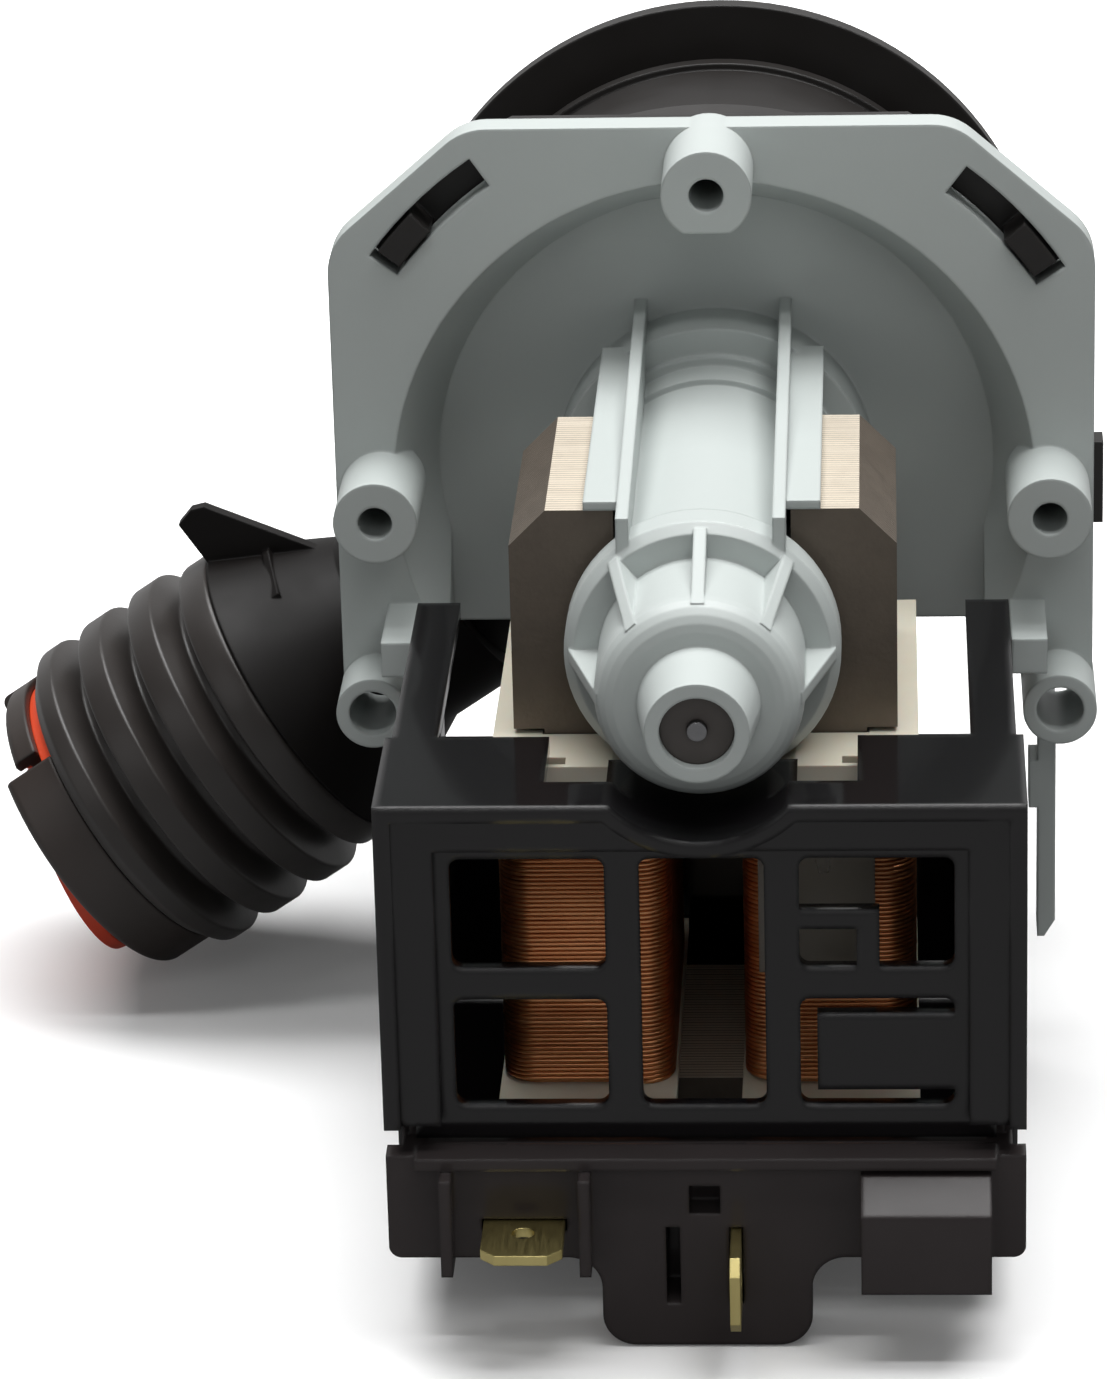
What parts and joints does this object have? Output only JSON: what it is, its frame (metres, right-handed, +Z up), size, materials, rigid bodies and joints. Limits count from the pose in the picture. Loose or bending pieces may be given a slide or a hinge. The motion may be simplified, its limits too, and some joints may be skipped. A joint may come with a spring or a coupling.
{
  "type": "dishwasher drain pump",
  "caption": "Grey and black drain pump with a magnet rotor in a can, a U-shaped stator with copper coils, tabs and a bellows outlet with a check valve.",
  "frame": {"origin": "Midway between the two side screw bosses of the cover plate, on the rotor axis, level with the bosses' free faces.", "axes": "Y runs along the rotor axis from the motor towards the inlet, Z points up from the terminals to the top screw boss, and X points to the right seen from the motor."},
  "size_m": [0.0959, 0.1051, 0.0834],
  "materials": {
    "grey_moulding": "moulded grey polypropylene, satin",
    "black_moulding": "moulded black nylon, glossy",
    "dark_moulding": "moulded black polypropylene, satin",
    "black_rubber": "moulded black rubber",
    "ivory_moulding": "moulded ivory nylon",
    "orange_moulding": "moulded orange-red plastic",
    "orange_rubber": "moulded orange-red silicone rubber",
    "clear_sleeve": "milky insulating sleeve",
    "lamination_steel": "stacked steel sheets, bare",
    "bright_steel": "ground stainless steel",
    "tab_brass": "tinned brass sheet",
    "copper_wire": "enamelled copper wire",
    "ferrite": "moulded ferrite magnet",
    "bearing_carbon": "carbon bush"
  },
  "bodies": {
    "pump": {"pump_cover": "grey_moulding", "nose_plug": "dark_moulding", "thrust_pin": "bright_steel", "stator_core": "lamination_steel", "bobbin_left": "ivory_moulding", "bobbin_right": "ivory_moulding", "winding_core_left": "copper_wire", "winding_core_right": "copper_wire", "winding_left": "copper_wire", "winding_right": "copper_wire", "thermal_protector": "lamination_steel", "protector_sleeve": "clear_sleeve", "coil_box": "black_moulding", "terminal_block": "black_moulding", "tab_flat": "tab_brass", "tab_upright": "tab_brass", "volute": "dark_moulding", "chamber_gasket": "black_rubber", "sump_seal": "black_rubber", "outlet_duct": "dark_moulding", "bellows": "black_rubber", "front_bearing": "bearing_carbon", "rear_bearing": "bearing_carbon", "bearing_holder": "dark_moulding", "rear_cushion": "black_rubber"},
    "rotor": {"shaft": "bright_steel", "rotor_magnet": "ferrite", "drive_dog": "ivory_moulding", "impeller_clip": "bright_steel", "shaft_washer": "bright_steel"},
    "impeller_body": {"impeller": "dark_moulding"},
    "hose_end": {"end_collar": "dark_moulding", "valve_seat": "orange_moulding"},
    "flap": {"valve_flap": "orange_rubber"}
  },
  "joints": [
    {"name": "rotor_spin", "type": "hinge", "parent": "pump", "child": "rotor", "pos_m": [0, 0, 0], "axis": [0, 1, 0], "continuous": true},
    {"name": "impeller_slip", "type": "hinge", "parent": "rotor", "child": "impeller_body", "pos_m": [0, 0.025, 0], "axis": [0, 1, 0], "range_deg": [-135, 135]},
    {"name": "bellows_bend", "type": "hinge", "parent": "pump", "child": "hose_end", "pos_m": [-0.04646, 0.0275, -0.03189], "axis": [0, 1, 0], "range_deg": [-8, 8], "stiffness_Nm_per_rad": 1.5, "deforming": ["bellows"]},
    {"name": "valve_swing", "type": "hinge", "parent": "hose_end", "child": "flap", "pos_m": [-0.06085, 0.0275, -0.02958], "axis": [0, 1, 0], "range_deg": [-10, 55], "stiffness_Nm_per_rad": 0.002}
  ]
}
